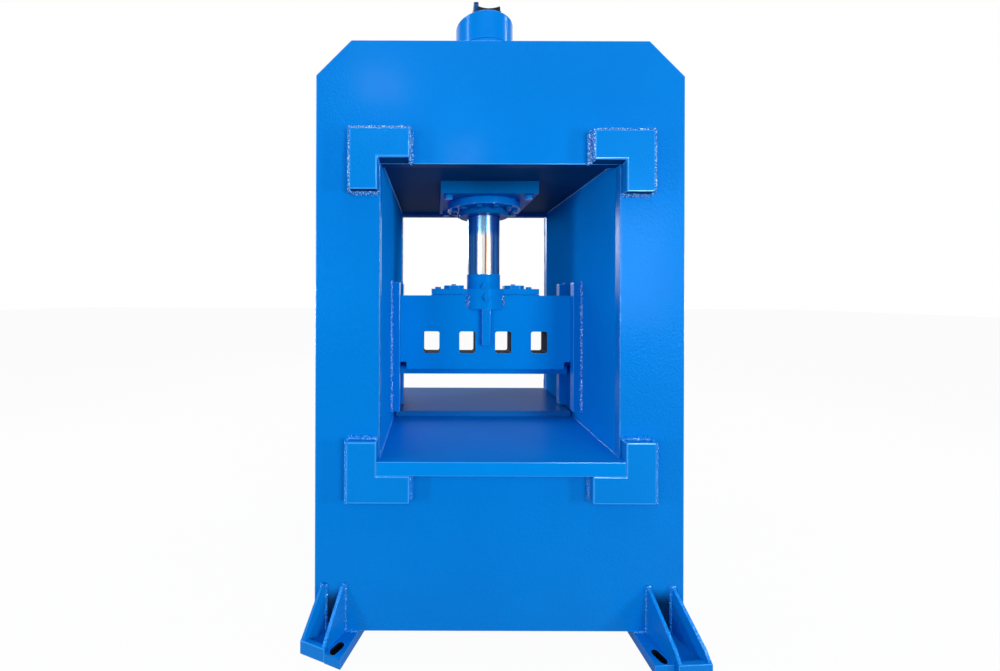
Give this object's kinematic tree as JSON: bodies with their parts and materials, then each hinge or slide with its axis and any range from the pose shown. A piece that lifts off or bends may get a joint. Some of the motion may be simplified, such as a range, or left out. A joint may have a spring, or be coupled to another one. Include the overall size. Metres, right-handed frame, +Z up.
{
  "type": "hydraulic press",
  "caption": "Floor-standing welded plate-frame hydraulic press with a guided crosshead on one vertical cylinder, a raised bed plate and splayed anchor feet.",
  "frame": {"origin": "on the floor, at the middle of the press's footprint, which is on the cylinder's axis", "axes": "+Z up along the cylinder, +X to the right as seen from the front, +Y from the front into the press"},
  "size_m": [1.2606, 1.0992, 2.396],
  "materials": {
    "frame_enamel": "glossy bright blue enamel over welded plate, orange peel, shiny weld beads",
    "crosshead_enamel": "glossy bright blue enamel",
    "cylinder_enamel": "glossy bright blue enamel",
    "hard_chrome": "polished hard chrome with faint upright streaks",
    "bare_steel": "turned steel",
    "ring_bronze": "plain bronze",
    "seal_rubber": "matt black",
    "roller_black": "matt near-black"
  },
  "bodies": {
    "frame": {"front_plate": "frame_enamel", "rear_plate": "frame_enamel", "left_wall": "frame_enamel", "right_wall": "frame_enamel", "ceiling_plate": "frame_enamel", "table_plate": "frame_enamel", "bed_plate": "frame_enamel", "left_side_plate": "frame_enamel", "right_side_plate": "frame_enamel", "left_shoulder_plate": "frame_enamel", "right_shoulder_plate": "frame_enamel", "top_plate": "frame_enamel", "crown_webs": "frame_enamel", "bed_webs": "frame_enamel", "front_top_left_pad": "frame_enamel", "front_top_right_pad": "frame_enamel", "front_low_left_pad": "frame_enamel", "front_low_right_pad": "frame_enamel", "rear_top_pads": "frame_enamel", "rear_low_pads": "frame_enamel", "front_left_guide": "frame_enamel", "front_right_guide": "frame_enamel", "rear_left_guide": "frame_enamel", "rear_right_guide": "frame_enamel", "front_left_foot": "frame_enamel", "front_right_foot": "frame_enamel", "rear_left_foot": "frame_enamel", "rear_right_foot": "frame_enamel", "front_left_gussets": "frame_enamel", "front_right_gussets": "frame_enamel", "rear_left_gussets": "frame_enamel", "rear_right_gussets": "frame_enamel", "toe_plates": "frame_enamel", "mounting_plate": "cylinder_enamel", "mounting_bolts": "cylinder_enamel", "mounting_washers": "cylinder_enamel", "barrel": "cylinder_enamel", "end_cap": "cylinder_enamel", "cylinder_head": "cylinder_enamel", "gland_ring": "cylinder_enamel", "head_bolts": "cylinder_enamel", "rod_seals": "seal_rubber", "cap_port_boss": "cylinder_enamel", "roller_ear": "cylinder_enamel", "roller_pin": "bare_steel"},
    "crosshead": {"ram_rod": "hard_chrome", "piston": "bare_steel", "piston_rings": "ring_bronze", "piston_nut": "bare_steel", "ram_adaptor": "crosshead_enamel", "ram_collar": "crosshead_enamel", "set_screws": "crosshead_enamel", "crosshead_slab": "crosshead_enamel", "collar_ribs": "crosshead_enamel", "press_bar": "crosshead_enamel", "guide_shoes": "crosshead_enamel", "retaining_plate": "crosshead_enamel", "clamp_plates": "crosshead_enamel", "clamp_screws": "crosshead_enamel"},
    "roller": {"roller": "roller_black"}
  },
  "joints": [
    {"name": "ram_stroke", "type": "slide", "parent": "frame", "child": "crosshead", "axis": [0, 0, 1], "range_m": [-0.155, 0.23]},
    {"name": "roller_spin", "type": "hinge", "parent": "frame", "child": "roller", "pos_m": [0, 0, 2.344], "axis": [1, 0, 0], "continuous": true}
  ]
}
